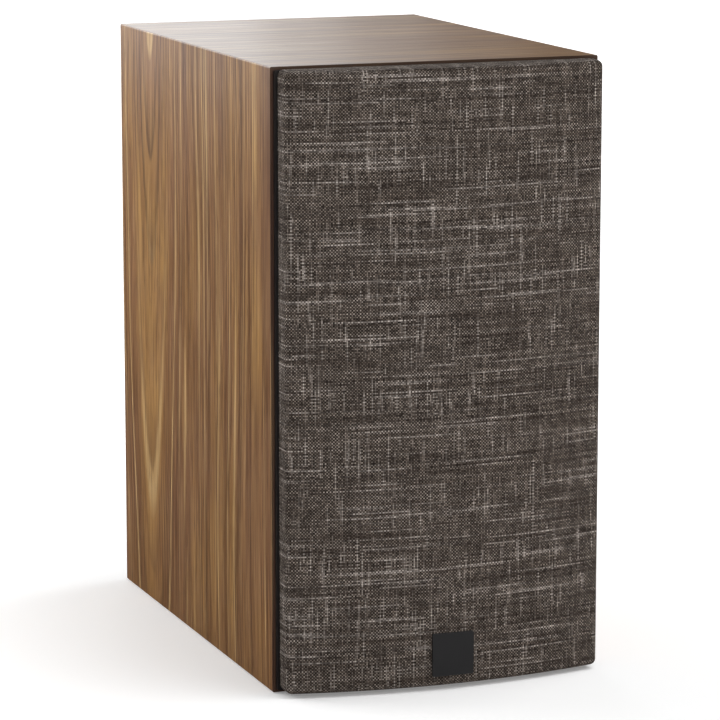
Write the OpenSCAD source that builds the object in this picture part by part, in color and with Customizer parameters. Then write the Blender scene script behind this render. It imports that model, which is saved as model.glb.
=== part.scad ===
// Two-way bookshelf loudspeaker: veneered cabinet, curved fabric grille, woofer, dome tweeter,
// rear port, crossover and a pair of binding posts.
// Millimetres. +Z is up, the front faces -Y, and the origin is at the middle of the base.

/* [Cabinet] */
// Height of the wooden cabinet
cab_h = 278; // [276:1:300]
// Width of the wooden cabinet
cab_w = 154; // [154:1:170]
// Depth of the wooden cabinet, without the grille and the binding posts
cab_d = 224; // [216:1:240]
// Thickness of the side, top and bottom panels
wall_t = 12; // [11:0.5:12]
// Radius on the long edges of the cabinet
edge_r = 0.8; // [0.3:0.1:1]
// Thickness of the rear panel
rear_t = 15; // [12:1:15]
// How far the rear panel sits inside the back edge of the cabinet
rear_inset = 1.5; // [0.5:0.5:3]

/* [Baffle] */
// Thickness of the front baffle
baffle_t = 18; // [16:1:19]
// How far the baffle stands out of the wooden shell
baffle_proud = 2.5; // [1.5:0.5:3]
// Width of the wooden edge left showing around the baffle
rim_w = 1.5; // [0.8:0.1:2]
// Depth of the rebate that the baffle drops into
rebate_d = 6; // [4:1:8]

/* [Grille] */
// How far the middle of the grille stands out of the wooden shell
grille_out = 22; // [21:0.5:24]
// Radius of the grille's curved face, seen from above
grille_curve_r = 300; // [280:5:330]
// How far the grille is set in from each side of the cabinet
grille_inset = 2.5; // [2:0.5:3]
// Height of the grille's lower edge above the base
grille_z0 = 1.5; // [1:0.5:2]
// Gap between the top of the cabinet and the top of the grille
grille_top_gap = 1; // [0.5:0.5:1.5]
// Thickness of the grille fabric
fabric_t = 1; // [0.8:0.1:1.2]
// Side of the square badge
badge_w = 19.5; // [15:0.5:24]
// Height of the badge's lower edge above the grille's lower edge
badge_lift = 5; // [4:0.5:10]

/* [Woofer] */
// Height of the woofer's centre
woofer_z = 90; // [88:1:92]
// Radius of the woofer's flange
woofer_r = 68; // [67:0.5:69]
// Radius of the cone at its outer edge
cone_r = 43; // [42:0.5:43]
// Outer radius of the voice coil's former
woofer_coil_r = 13; // [12.8:0.1:13.2]

/* [Tweeter] */
// Height of the tweeter's centre
tweeter_z = 210; // [209:1:214]
// Radius of the tweeter's faceplate
tweeter_r = 46; // [45:0.5:46]
// Radius of the dome
dome_r = 14; // [13.9:0.1:14.1]

/* [Port] */
// Height of the port's centre
port_z = 215; // [210:1:220]
// Inner radius of the port tube
port_r = 17.5; // [15:0.5:18]
// Length of the port, from its mouth to its inner end
port_len = 110; // [80:5:120]

/* [Binding posts] */
// Height of the binding posts
post_z = 62; // [58:1:70]
// Distance between the two posts
post_gap = 38; // [30:1:40]
// How far the posts reach behind the cabinet
post_out = 22; // [21:0.5:24]
// Radius of the socket for a banana plug
banana_r = 2; // [2:0.05:2.1]
// Depth of the socket for a banana plug
banana_len = 16; // [14:0.5:16]

/* [Hidden] */
$fn = 96;
badge_t = 1.2;          // thickness of the badge
badge_proud = 1;        // part of it that stands out of the fabric
front_out = grille_out + badge_proud;
front_y = front_out - (front_out + cab_d + post_out) / 2;  // front edge of the wooden shell
back_y = front_y + cab_d;                                   // its back edge
face_y = front_y - baffle_proud;                            // front of the baffle
baffle_back_y = face_y + baffle_t;
rear_face_y = back_y - rear_inset;                          // outer face of the rear panel
rear_inner_y = rear_face_y - rear_t;
inner_w = cab_w - 2 * wall_t;
inner_h = cab_h - 2 * wall_t;

seat_gap = 0.2;         // air between the grille and the baffle
grille_back_y = face_y - seat_gap;
grille_face_y = front_y - grille_out;
grille_w = cab_w - 2 * grille_inset;
grille_z1 = cab_h - grille_top_gap;
grille_corner_r = 3;    // upright front corners
grille_front_r = 2.2;   // the same corners, seen from the front
frame_rim = 2.5;        // wall around the grille frame
frame_plate = 3.5;      // its flat back
frame_band = 9;         // width of that back
rib_t = 4;
rib_z = 161;
peg_x = 59;
peg_r = 2.95;
peg_len = 9;
peg_z = [18, cab_h - 18];
socket_r = 3;
socket_wall = 1.6;
socket_len = 11;

gasket_t = 1;
flange_t = 4;
woofer_hole_r = 59.2;
woofer_screw_r = 63.5;  // circle of the woofer's screws
tweeter_hole_r = 37.5;
tweeter_screw_r = 41.5;
screw_r = 2.1;          // shank of the wood screws
screw_len = 15;
screw_play = 0.15;      // room around a shank in a clearance hole

cone_z = 1.8;           // depth of the cone's outer edge
cone_deep = 18.4;       // how much deeper its neck is
cone_t = 0.8;
spider_z = 31;          // depth of the spider's landing
plate_z = 40;           // front of the woofer's top plate
plate_t = 5;
magnet_t = 16;
yoke_t = 5;
woofer_gap = 1.4;       // former to top plate
former_t = 0.4;

tweeter_plate_z = flange_t + 0.4;
tweeter_plate_t = 4;
tweeter_magnet_t = 12;
tweeter_yoke_t = 4;
chamber_len = 19.6;
dome_t = 0.35;
dome_h = 5.5;

port_flare = 12;        // radius of the flare at the mouth
port_wall = 2;
port_lip_r = port_r + port_flare + 4.5;
port_lip_t = 2.5;
port_hole_r = port_r + 10;

terminal_t = 3;
terminal_w = 80;
terminal_h = 46;
terminal_face_y = rear_face_y + terminal_t;
post_len = back_y + post_out - terminal_face_y;
post_r = 3.5;
post_stem_r = 2.9;      // threaded stem through the plate
post_inner = 24;        // length of that stem
post_hole_r = 9;        // clearance hole in the rear panel
collar_r = 8;
collar_t = 3;
washer_t = 0.9;
turn_play = 0.06;       // running clearance between a post and its cap
cap_r = 8.5;
cap_grooves = 16;
part_gap = 0.1;

brace_z = 156;
brace_t = 12;
board_z = wall_t + 6;
board_t = 1.6;
board_w = 90;
board_d = 90;
board_y = 35;
board_top = board_z + board_t;
wire_r = 1.2;

// ---------- helpers ----------

// Stands a drawing made in X and Z along Y, from y0 to y1
module along_y(y0, y1) {
    translate([0, y1, 0]) rotate([90, 0, 0]) linear_extrude(y1 - y0) children();
}

// Puts a piece turned about Z on the line through x and z, with its +Z pointing to the back
module on_axis(x, y, z) {
    translate([x, y, z]) rotate([-90, 0, 0]) children();
}

module rounded_rect(w, h, r) {
    square([w - 2 * r, h], center = true);
    square([w, h - 2 * r], center = true);
    for (x = [-1, 1], y = [-1, 1])
        translate([x * (w / 2 - r), y * (h / 2 - r)]) circle(r);
}

module ring(r_out, r_in, z0, z1) {
    translate([0, 0, z0]) difference() {
        cylinder(r = r_out, h = z1 - z0);
        translate([0, 0, -1]) cylinder(r = r_in, h = z1 - z0 + 2);
    }
}

// Copies at the four diagonal places of a circle
module on_circle(r) {
    for (a = [45 : 90 : 315]) rotate(a) translate([r, 0, 0]) children();
}

module wood_screw(head_r, head_t, shank_r, length) {
    difference() {
        union() {
            rotate_extrude() polygon([
                [0, -head_t], [head_r * 0.55, -head_t], [head_r * 0.9, -head_t * 0.6],
                [head_r, 0], [0, 0]
            ]);
            cylinder(r = shank_r, h = length - 3);
            translate([0, 0, length - 3]) cylinder(r1 = shank_r, r2 = 0.4, h = 3);
        }
        translate([0, 0, -head_t - 1]) cylinder(r = head_r * 0.45, h = 2.1, $fn = 6);
    }
}

// Points on an arc in the order of its angles
function arc(cx, cy, r, a0, a1, steps) =
    [for (i = [0 : steps]) let (a = a0 + (a1 - a0) * i / steps) [cx + r * cos(a), cy + r * sin(a)]];

// ---------- cabinet ----------

module cabinet_outline() {
    translate([0, cab_h / 2]) rounded_rect(cab_w, cab_h, edge_r);
}

module baffle_outline() {
    translate([0, cab_h / 2]) rounded_rect(cab_w - 2 * rim_w, cab_h - 2 * rim_w, edge_r);
}

module inner_outline() {
    translate([0, cab_h / 2]) square([inner_w, inner_h], center = true);
}

// A panel with mitred ends, rebated at the front for the baffle
module mitred_panel(points) {
    difference() {
        along_y(front_y, back_y) intersection() {
            cabinet_outline();
            polygon(points);
        }
        along_y(front_y - 1, front_y + rebate_d) baffle_outline();
    }
}

module side_panel(side) {
    mitred_panel([
        [side * cab_w / 2, 0], [side * inner_w / 2, wall_t],
        [side * inner_w / 2, cab_h - wall_t], [side * cab_w / 2, cab_h]
    ]);
}

module side_panel_left() {
    color("#8a6b4a") side_panel(-1);
}

module side_panel_right() {
    color("#8a6b4a") side_panel(1);
}

module top_panel() {
    color("#9a7a58") mitred_panel([
        [-cab_w / 2, cab_h], [-inner_w / 2, cab_h - wall_t],
        [inner_w / 2, cab_h - wall_t], [cab_w / 2, cab_h]
    ]);
}

module bottom_panel() {
    color("#8a6b4a") difference() {
        mitred_panel([[-cab_w / 2, 0], [-inner_w / 2, wall_t], [inner_w / 2, wall_t], [cab_w / 2, 0]]);
        at_board_corners(wall_t - 8) cylinder(r = 1.2, h = 9);
    }
}

module front_baffle() {
    color("#1b1b1c") difference() {
        union() {
            along_y(face_y, front_y + rebate_d) baffle_outline();
            along_y(front_y + rebate_d, baffle_back_y) inner_outline();
        }
        driver_cutout(woofer_z, woofer_r, woofer_hole_r, woofer_screw_r);
        driver_cutout(tweeter_z, tweeter_r, tweeter_hole_r, tweeter_screw_r);
        at_pegs() translate([0, 0, -1]) cylinder(r = socket_r + socket_wall, h = socket_len + 1);
    }
}

// A flush recess, the hole behind it and the pilot holes of its screws
module driver_cutout(z, flange_r, hole_r, circle_r) {
    on_axis(0, face_y, z) {
        translate([0, 0, -1]) cylinder(r = flange_r + 0.2, h = flange_t + gasket_t + 1);
        cylinder(r = hole_r, h = baffle_t + 1);
        on_circle(circle_r) cylinder(r = screw_r, h = screw_len);
    }
}

module at_pegs() {
    for (x = [-peg_x, peg_x], z = peg_z) on_axis(x, face_y, z) children();
}

module rear_panel() {
    color("#202021") difference() {
        along_y(rear_inner_y, rear_face_y) inner_outline();
        on_axis(0, rear_inner_y - 1, port_z) cylinder(r = port_hole_r, h = rear_t + 2);
        for (x = [-1, 1])
            on_axis(x * post_gap / 2, rear_inner_y - 1, post_z) cylinder(r = post_hole_r, h = rear_t + 2);
        at_terminal_corners() translate([0, 0, -screw_len]) cylinder(r = 1.5, h = screw_len + 1);
    }
}

module cabinet_brace() {
    brace_d = rear_inner_y - baffle_back_y;
    color("#b49a70") translate([0, (rear_inner_y + baffle_back_y) / 2, brace_z])
        linear_extrude(brace_t) difference() {
            square([inner_w, brace_d], center = true);
            rounded_rect(inner_w - 36, brace_d - 50, 12);
        }
}

module damping_pads() {
    color("#d8d6cf") for (side = [-1, 1])
        translate([side > 0 ? inner_w / 2 - 8 : -inner_w / 2, -50, brace_z + brace_t + 8])
            cube([8, 120, 80]);
}

module port_tube() {
    color("#18181a") on_axis(0, rear_face_y + port_lip_t, port_z) rotate_extrude() polygon(concat(
        arc(port_r + port_flare, -port_flare, port_flare, 180, 90, 9),
        [
            [port_lip_r - 1, 0], [port_lip_r, -1], [port_lip_r, -port_lip_t],
            [port_hole_r, -port_lip_t], [port_hole_r, -port_lip_t - 3],
            [port_r + port_wall + 1, -port_flare - 3], [port_r + port_wall, -port_flare - 8],
            [port_r + port_wall, -port_len], [port_r, -port_len]
        ]
    ));
}

// ---------- grille ----------

// The grille from above, drawn inwards by inset: flat sides, rounded corners and a curved face
function grille_outline(inset) =
    let (
        half = grille_w / 2,
        corner_x = half - grille_corner_r,
        middle_y = grille_face_y + grille_curve_r,
        reach = grille_curve_r - grille_corner_r,
        turn = acos(corner_x / reach),
        corner_y = middle_y - reach * sin(turn)
    )
    concat(
        [[half - inset, grille_back_y]],
        arc(corner_x, corner_y, grille_corner_r - inset, 0, -turn, 6),
        arc(0, middle_y, grille_curve_r - inset, -turn, turn - 180, 24),
        arc(-corner_x, corner_y, grille_corner_r - inset, turn - 180, -180, 6),
        [[inset - half, grille_back_y]]
    );

module grille_solid(inset) {
    intersection() {
        translate([0, 0, grille_z0 + inset])
            linear_extrude(grille_z1 - grille_z0 - 2 * inset) polygon(grille_outline(inset));
        along_y(grille_face_y - 1, grille_back_y + 1) grille_window(inset, grille_front_r - inset);
    }
}

module grille_window(inset, r) {
    translate([0, (grille_z0 + grille_z1) / 2])
        rounded_rect(grille_w - 2 * inset, grille_z1 - grille_z0 - 2 * inset, r);
}

module grille_fabric() {
    color("#564d48") difference() {
        grille_solid(0);
        grille_solid(fabric_t);
    }
}

module grille_frame() {
    inner = fabric_t + frame_rim;
    color("#222224") {
        difference() {
            grille_solid(fabric_t);
            along_y(grille_face_y - 1, grille_back_y - frame_plate) grille_window(inner, 1);
            along_y(grille_face_y - 1, grille_back_y + 1) grille_window(fabric_t + frame_band, 4);
        }
        translate([0, 0, rib_z - rib_t / 2]) linear_extrude(rib_t) difference() {
            polygon(grille_outline(fabric_t));
            translate([0, rib_t]) polygon(grille_outline(fabric_t));
            translate([-cab_w / 2, grille_back_y - frame_plate]) square([cab_w, cab_w]);
        }
        at_pegs() {
            translate([0, 0, -seat_gap - frame_plate]) cylinder(r = 9, h = frame_plate);
            translate([0, 0, -seat_gap]) cylinder(r = peg_r, h = peg_len + seat_gap - 1);
            translate([0, 0, peg_len - 1]) cylinder(r1 = peg_r, r2 = peg_r - 0.8, h = 1);
        }
    }
}

module grille_badge() {
    color("#262627")
        along_y(grille_face_y - badge_proud, grille_face_y - badge_proud + badge_t)
            translate([0, grille_z0 + badge_lift + badge_w / 2]) rounded_rect(badge_w, badge_w, 0.6);
}

module grille_sockets() {
    color("#2a2a2b") at_pegs() difference() {
        cylinder(r = socket_r + socket_wall, h = socket_len);
        translate([0, 0, -1]) cylinder(r = socket_r, h = socket_len);
    }
}

// ---------- woofer ----------

module at_woofer() {
    on_axis(0, face_y, woofer_z) children();
}

module woofer_basket() {
    color("#2b2b2d") at_woofer() difference() {
        rotate_extrude() polygon([
            [woofer_r, 0.6], [woofer_r, flange_t], [57.5, flange_t], [46.5, spider_z + 2],
            [42, spider_z + 2], [42, plate_z], [16, plate_z], [16, plate_z - 2], [40, plate_z - 2],
            [40, spider_z], [44.5, spider_z], [55, flange_t], [52.5, flange_t], [52.5, cone_z],
            [56.5, cone_z], [57.3, 0], [woofer_r - 0.6, 0]
        ]);
        for (a = [0 : 60 : 300]) rotate(a) translate([30, -17, 8]) cube([40, 34, 19]);
        on_circle(woofer_screw_r) translate([0, 0, -1]) cylinder(r = screw_r + screw_play, h = 6);
    }
}

module woofer_gasket() {
    color("#3a3a3a") at_woofer() difference() {
        ring(woofer_r - 0.5, woofer_hole_r, flange_t, flange_t + gasket_t);
        on_circle(woofer_screw_r) cylinder(r = screw_r + screw_play, h = 9);
    }
}

module woofer_surround() {
    roll_r = 4.75;
    rubber_t = 0.5;
    roll_x = cone_r + roll_r;
    color("#1d1d1f") at_woofer() rotate_extrude() polygon(concat(
        [[56.3, cone_z], [56.3, cone_z - rubber_t]],
        arc(roll_x, cone_z - rubber_t, roll_r, 0, -180, 16),
        [[cone_r - 3.5, cone_z - rubber_t], [cone_r - 3.5, cone_z]],
        arc(roll_x, cone_z, roll_r - rubber_t, -180, 0, 16)
    ));
}

// Depth of the cone's front at radius r
function cone_depth(r) =
    cone_z + cone_deep * pow(max(0, (cone_r - 3.5 - r) / (cone_r - 3.5 - woofer_coil_r)), 1.15);

module woofer_cone() {
    radii = [for (i = [0 : 12]) woofer_coil_r + (cone_r - 3.5 - woofer_coil_r) * i / 12];
    color("#4a2f22") at_woofer() rotate_extrude() polygon(concat(
        [for (r = radii) [r, cone_depth(r)]],
        [[cone_r, cone_z], [cone_r, cone_z + cone_t]],
        [for (i = [12 : -1 : 0]) [radii[i], cone_depth(radii[i]) + cone_t]]
    ));
}

module woofer_dust_cap() {
    base_r = 17;
    rise = 4;
    cap_t = 0.6;
    ball_r = (base_r * base_r + rise * rise) / (2 * rise);
    half_angle = asin(base_r / ball_r);
    base_z = cone_depth(base_r);
    middle_z = base_z - rise + ball_r;
    color("#4a2f22") at_woofer() rotate_extrude() polygon(concat(
        arc(0, middle_z, ball_r, -90, half_angle - 90, 12),
        arc(0, middle_z, ball_r - cap_t, half_angle - 90, -90, 12)
    ));
}

module woofer_coil_former() {
    color("#c9a06a") at_woofer() ring(woofer_coil_r, woofer_coil_r - former_t, 17.5, 47);
}

module woofer_voice_coil() {
    color("#b46a33") at_woofer() ring(woofer_coil_r + 0.7, woofer_coil_r, 38, 47);
}

module woofer_spider() {
    cloth_t = 0.6;
    inner = [for (r = [woofer_coil_r + 3 : 1 : 38]) [r, spider_z - cloth_t - sin((r - 16) * 90)]];
    color("#c8a24a") at_woofer() rotate_extrude() polygon(concat(
        [[woofer_coil_r, spider_z - cloth_t]], inner, [[44.3, spider_z - cloth_t], [44.3, spider_z]],
        [for (i = [len(inner) - 1 : -1 : 0]) inner[i] + [0, cloth_t]],
        [[woofer_coil_r, spider_z]]
    ));
}

module woofer_top_plate() {
    color("#9a9a98") at_woofer()
        ring(40, woofer_coil_r + woofer_gap, plate_z, plate_z + plate_t);
}

module woofer_magnet() {
    color("#3b3b3d") at_woofer() ring(43, 20, plate_z + plate_t, plate_z + plate_t + magnet_t);
}

module woofer_yoke() {
    back_z = plate_z + plate_t + magnet_t;
    color("#9a9a98") at_woofer() difference() {
        union() {
            translate([0, 0, plate_z + 1]) cylinder(r = woofer_coil_r - 0.9, h = back_z - plate_z);
            translate([0, 0, back_z]) cylinder(r = 40, h = yoke_t);
        }
        cylinder(r = 4, h = back_z + yoke_t + 1);
    }
}

module woofer_terminals() {
    color("#c7b37a") at_woofer() {
        translate([-12, 42, plate_z - 6]) cube([24, 1.6, 6]);
        for (x = [-7, 7]) translate([x - 2.4, 43.6, plate_z - 4]) cube([4.8, 8.4, 0.8]);
    }
}

module woofer_screws() {
    color("#1a1a1a") at_woofer() on_circle(woofer_screw_r) wood_screw(3.6, 2, screw_r, screw_len);
}

// ---------- tweeter ----------

module at_tweeter() {
    on_axis(0, face_y, tweeter_z) children();
}

module tweeter_faceplate() {
    mouth_r = 30;
    throat_r = 18.2;
    lip_z = 3.2;
    color("#1c1c1e") at_tweeter() difference() {
        rotate_extrude() polygon(concat(
            [[tweeter_r - 0.6, 0], [tweeter_r, 0.6], [tweeter_r, flange_t], [throat_r, flange_t]],
            [for (i = [0 : 8]) let (s = i / 8)
                [throat_r + (mouth_r - throat_r) * s, lip_z * pow(1 - s, 1.6)]]
        ));
        on_circle(tweeter_screw_r) translate([0, 0, -1]) cylinder(r = screw_r + screw_play, h = 6);
    }
}

module tweeter_gasket() {
    color("#3a3a3a") at_tweeter() difference() {
        ring(tweeter_r - 0.5, tweeter_hole_r, flange_t, flange_t + gasket_t);
        on_circle(tweeter_screw_r) cylinder(r = screw_r + screw_play, h = 9);
    }
}

module tweeter_surround() {
    roll_r = 1.9;
    cloth_t = 0.3;
    roll_x = dome_r + roll_r;
    edge_z = tweeter_plate_z;
    color("#161617") at_tweeter() rotate_extrude() polygon(concat(
        [[21, edge_z], [21, edge_z - cloth_t]],
        arc(roll_x, edge_z - cloth_t, roll_r, 0, -180, 10),
        [[dome_r, edge_z]],
        arc(roll_x, edge_z, roll_r - cloth_t, -180, 0, 10)
    ));
}

module tweeter_dome() {
    ball_r = (dome_r * dome_r + dome_h * dome_h) / (2 * dome_h);
    half_angle = asin(dome_r / ball_r);
    middle_z = tweeter_plate_z - dome_h + ball_r;
    color("#141416") at_tweeter() rotate_extrude() polygon(concat(
        arc(0, middle_z, ball_r, -90, half_angle - 90, 16),
        arc(0, middle_z, ball_r - dome_t, half_angle - 90, -90, 16)
    ));
}

module tweeter_coil_former() {
    color("#c9c9c9") at_tweeter()
        ring(dome_r - 0.05, dome_r - 0.25, tweeter_plate_z + 0.27, tweeter_plate_z + 6);
}

module tweeter_voice_coil() {
    color("#b46a33") at_tweeter()
        ring(dome_r + 0.25, dome_r - 0.05, tweeter_plate_z + 1.5, tweeter_plate_z + 6);
}

module tweeter_top_plate() {
    color("#9a9a98") at_tweeter()
        ring(35, dome_r + 0.6, tweeter_plate_z, tweeter_plate_z + tweeter_plate_t);
}

tweeter_magnet_z = tweeter_plate_z + tweeter_plate_t;
tweeter_yoke_z = tweeter_magnet_z + tweeter_magnet_t;
tweeter_back_z = tweeter_yoke_z + tweeter_yoke_t;

module tweeter_magnet() {
    color("#3b3b3d") at_tweeter() ring(36, 20, tweeter_magnet_z, tweeter_yoke_z);
}

module tweeter_yoke() {
    pole_z = tweeter_plate_z + 1;
    color("#9a9a98") at_tweeter() difference() {
        union() {
            translate([0, 0, pole_z]) cylinder(r = dome_r - 0.6, h = tweeter_yoke_z - pole_z + 1);
            translate([0, 0, tweeter_yoke_z]) cylinder(r = 34, h = tweeter_yoke_t);
        }
        cylinder(r = 4.5, h = tweeter_back_z + 1);
    }
}

module tweeter_rear_chamber() {
    wall = 1.6;
    color("#222224") at_tweeter() difference() {
        translate([0, 0, tweeter_back_z]) cylinder(r = 27, h = chamber_len);
        translate([0, 0, tweeter_back_z - 1]) cylinder(r = 27 - wall, h = chamber_len - wall + 1);
    }
}

module tweeter_terminals() {
    color("#c7b37a") at_tweeter() {
        translate([-9, 28.4, tweeter_back_z]) cube([18, 5, 1.6]);
        for (x = [-6, 6]) translate([x - 2.4, 30.6, tweeter_back_z + 1.6]) cube([4.8, 0.8, 7]);
    }
}

module tweeter_screws() {
    color("#1a1a1a") at_tweeter() on_circle(tweeter_screw_r) wood_screw(3.6, 2, screw_r, screw_len);
}

// ---------- terminals at the back ----------

module at_terminal_corners() {
    for (x = [-1, 1], z = [-1, 1])
        on_axis(x * (terminal_w / 2 - 6), rear_face_y, post_z + z * (terminal_h / 2 - 6)) children();
}

module at_post(side) {
    on_axis(side * post_gap / 2, terminal_face_y, post_z) children();
}

module terminal_plate() {
    color("#1c1c1e") difference() {
        along_y(rear_face_y, terminal_face_y)
            translate([0, post_z]) rounded_rect(terminal_w, terminal_h, 5);
        for (side = [-1, 1])
            at_post(side) translate([0, 0, -terminal_t - 1]) cylinder(r = post_stem_r, h = terminal_t + 2);
        at_terminal_corners() translate([0, 0, -1]) cylinder(r = 1.7, h = terminal_t + 2);
    }
}

module terminal_screws() {
    color("#1a1a1a") at_terminal_corners()
        translate([0, 0, terminal_t]) rotate([180, 0, 0]) wood_screw(3.2, 1.8, 1.5, screw_len);
}

module post_shafts() {
    color("#c9a24a") for (side = [-1, 1]) at_post(side) difference() {
        union() {
            translate([0, 0, -post_inner]) cylinder(r = post_stem_r, h = post_inner);
            cylinder(r = post_r, h = post_len);
        }
        translate([0, 0, post_len - banana_len]) cylinder(r = banana_r, h = banana_len + 1);
    }
}

module post_nuts() {
    color("#b8b8b6") for (side = [-1, 1]) at_post(side)
        translate([0, 0, -terminal_t - 4]) difference() {
            cylinder(r = 5.8, h = 4, $fn = 6);
            translate([0, 0, -1]) cylinder(r = post_stem_r, h = 6);
        }
}

module post_collar(side) {
    at_post(side) ring(collar_r, post_r, 0, collar_t);
}

module post_collar_red() {
    color("#a3221d") post_collar(1);
}

module post_collar_black() {
    color("#151515") post_collar(-1);
}

// The captive washer that presses on the wire
module post_washer(side) {
    at_post(side) ring(6.4, post_r + turn_play, collar_t + part_gap, collar_t + washer_t);
}

module post_washer_red() {
    color("#b8b8b6") post_washer(1);
}

module post_washer_black() {
    color("#b8b8b6") post_washer(-1);
}

// The cap that turns on the post's thread, fluted for grip
module post_cap(side) {
    cap_z0 = collar_t + washer_t + part_gap;
    cap_z1 = post_len - 0.2;
    at_post(side) difference() {
        rotate_extrude() polygon([
            [post_r + turn_play, cap_z0], [cap_r - 0.5, cap_z0], [cap_r, cap_z0 + 0.5],
            [cap_r, cap_z1 - 1.5], [cap_r - 1.5, cap_z1], [post_r + turn_play, cap_z1]
        ]);
        for (i = [0 : cap_grooves - 1]) rotate(i * 360 / cap_grooves)
            translate([cap_r + 0.5, 0, cap_z0 + 3]) cylinder(r = 1, h = post_len);
    }
}

module post_cap_red() {
    color("#a3221d") post_cap(1);
}

module post_cap_black() {
    color("#151515") post_cap(-1);
}

// ---------- crossover ----------

module at_board_corners(z) {
    for (x = [-1, 1], y = [-1, 1])
        translate([x * (board_w / 2 - 4), board_y + y * (board_d / 2 - 4), z]) children();
}

module crossover_board() {
    color("#2f5a3a") translate([0, board_y, board_z]) linear_extrude(board_t) difference() {
        rounded_rect(board_w, board_d, 2);
        for (x = [-1, 1], y = [-1, 1])
            translate([x * (board_w / 2 - 4), y * (board_d / 2 - 4)]) circle(1.7);
    }
}

module crossover_standoffs() {
    color("#d9d9d6") at_board_corners(wall_t) ring(3.2, 1.7, 0, board_z - wall_t);
}

module crossover_screws() {
    color("#b8b8b6") at_board_corners(board_top) rotate([180, 0, 0]) wood_screw(2.6, 1.6, 1.2, 14);
}

module crossover_inductors() {
    color("#b46a33") for (x = [-22, 22])
        translate([x, board_y - 20, board_top]) ring(16.5, 7, 0, 13);
}

module crossover_capacitors() {
    can_r = 8;
    color("#c9b03a") for (x = [-20, 20])
        translate([x - 15, board_y + 20, board_top + can_r]) rotate([0, 90, 0]) cylinder(r = can_r, h = 30);
}

module crossover_resistors() {
    color("#e4e1d6") for (y = [-40, -10])
        translate([-4, board_y + y, board_top]) cube([8, 27, 8]);
}

// ---------- internal leads ----------

function unit(v) = v / norm(v);

// A point on the smooth curve through four route points, at share s between the middle two
function smooth_point(a, b, c, d, s) =
    0.5 * (2 * b + (c - a) * s + (2 * a - 5 * b + 4 * c - d) * s * s + (3 * b - a - 3 * c + d) * s * s * s);

function smooth_route(p, steps) =
    let (last = len(p) - 1)
    concat([for (i = [0 : last - 1], k = [0 : steps - 1])
        smooth_point(p[max(i - 1, 0)], p[i], p[i + 1], p[min(i + 2, last)], k / steps)], [p[last]]);

// One conductor swept along its route
module wire(route) {
    sides = 8;
    p = smooth_route(route, 2);
    n = len(p);
    rings = [for (i = [0 : n - 1])
        let (
            ahead = unit(p[min(i + 1, n - 1)] - p[max(i - 1, 0)]),
            u = unit(cross(ahead, [1, 0, 0])),
            v = cross(ahead, u)
        )
        for (k = [0 : sides - 1]) p[i] + wire_r * (cos(k * 360 / sides) * u + sin(k * 360 / sides) * v)];
    walls = [for (i = [0 : n - 2], k = [0 : sides - 1])
        let (a = i * sides + k, b = i * sides + (k + 1) % sides) [a, a + sides, b + sides, b]];
    ends = [[for (k = [0 : sides - 1]) k], [for (k = [sides - 1 : -1 : 0]) (n - 1) * sides + k]];
    polyhedron(rings, concat(walls, ends), convexity = 6);
}

// The same route on both sides of the middle, one for each conductor
module wire_pair(route) {
    for (side = [-1, 1]) wire([for (p = route) [side * p[0], p[1], p[2]]]);
}

post_end_y = terminal_face_y - post_inner;
input_route = [
    [post_gap / 2, post_end_y, post_z], [20, 80, 58], [24, 76, 44], [26, 75, 30], [26, 75, board_top]
];
woofer_tab_y = face_y + plate_z - 3.6;
woofer_route = [
    [31, -3, board_top], [30, -8, 28], [24, -30, 34], [12, -60, 30],
    [7, woofer_tab_y, 30], [7, woofer_tab_y, woofer_z - 52]
];
tweeter_tab_y = face_y + tweeter_back_z + 8.6;
tweeter_route = [
    [41, 36, board_top], [42, 34, 60], [42, 26, 110], [40, 10, 155], [32, -20, 174],
    [12, -62, 179], [6, tweeter_tab_y, tweeter_z - 31]
];

module input_leads() {
    color("#7a1f1c") wire_pair(input_route);
}

module woofer_leads() {
    color("#202020") wire_pair(woofer_route);
}

module tweeter_leads() {
    color("#2b2b52") wire_pair(tweeter_route);
}

// ---------- the nodes ----------

side_panel_left();
side_panel_right();
top_panel();
bottom_panel();
front_baffle();
rear_panel();
cabinet_brace();
damping_pads();
port_tube();
grille_frame();
grille_fabric();
grille_badge();
grille_sockets();
woofer_basket();
woofer_gasket();
woofer_surround();
woofer_cone();
woofer_dust_cap();
woofer_coil_former();
woofer_voice_coil();
woofer_spider();
woofer_top_plate();
woofer_magnet();
woofer_yoke();
woofer_terminals();
woofer_screws();
tweeter_faceplate();
tweeter_gasket();
tweeter_surround();
tweeter_dome();
tweeter_coil_former();
tweeter_voice_coil();
tweeter_top_plate();
tweeter_magnet();
tweeter_yoke();
tweeter_rear_chamber();
tweeter_terminals();
tweeter_screws();
terminal_plate();
terminal_screws();
post_shafts();
post_nuts();
post_collar_red();
post_collar_black();
post_washer_red();
post_washer_black();
post_cap_red();
post_cap_black();
crossover_board();
crossover_standoffs();
crossover_screws();
crossover_inductors();
crossover_capacitors();
crossover_resistors();
input_leads();
woofer_leads();
tweeter_leads();
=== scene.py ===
"""The looks of a two-way bookshelf speaker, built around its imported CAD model."""
import math

import bmesh
import bpy
import numpy as np
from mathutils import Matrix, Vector, noise


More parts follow.
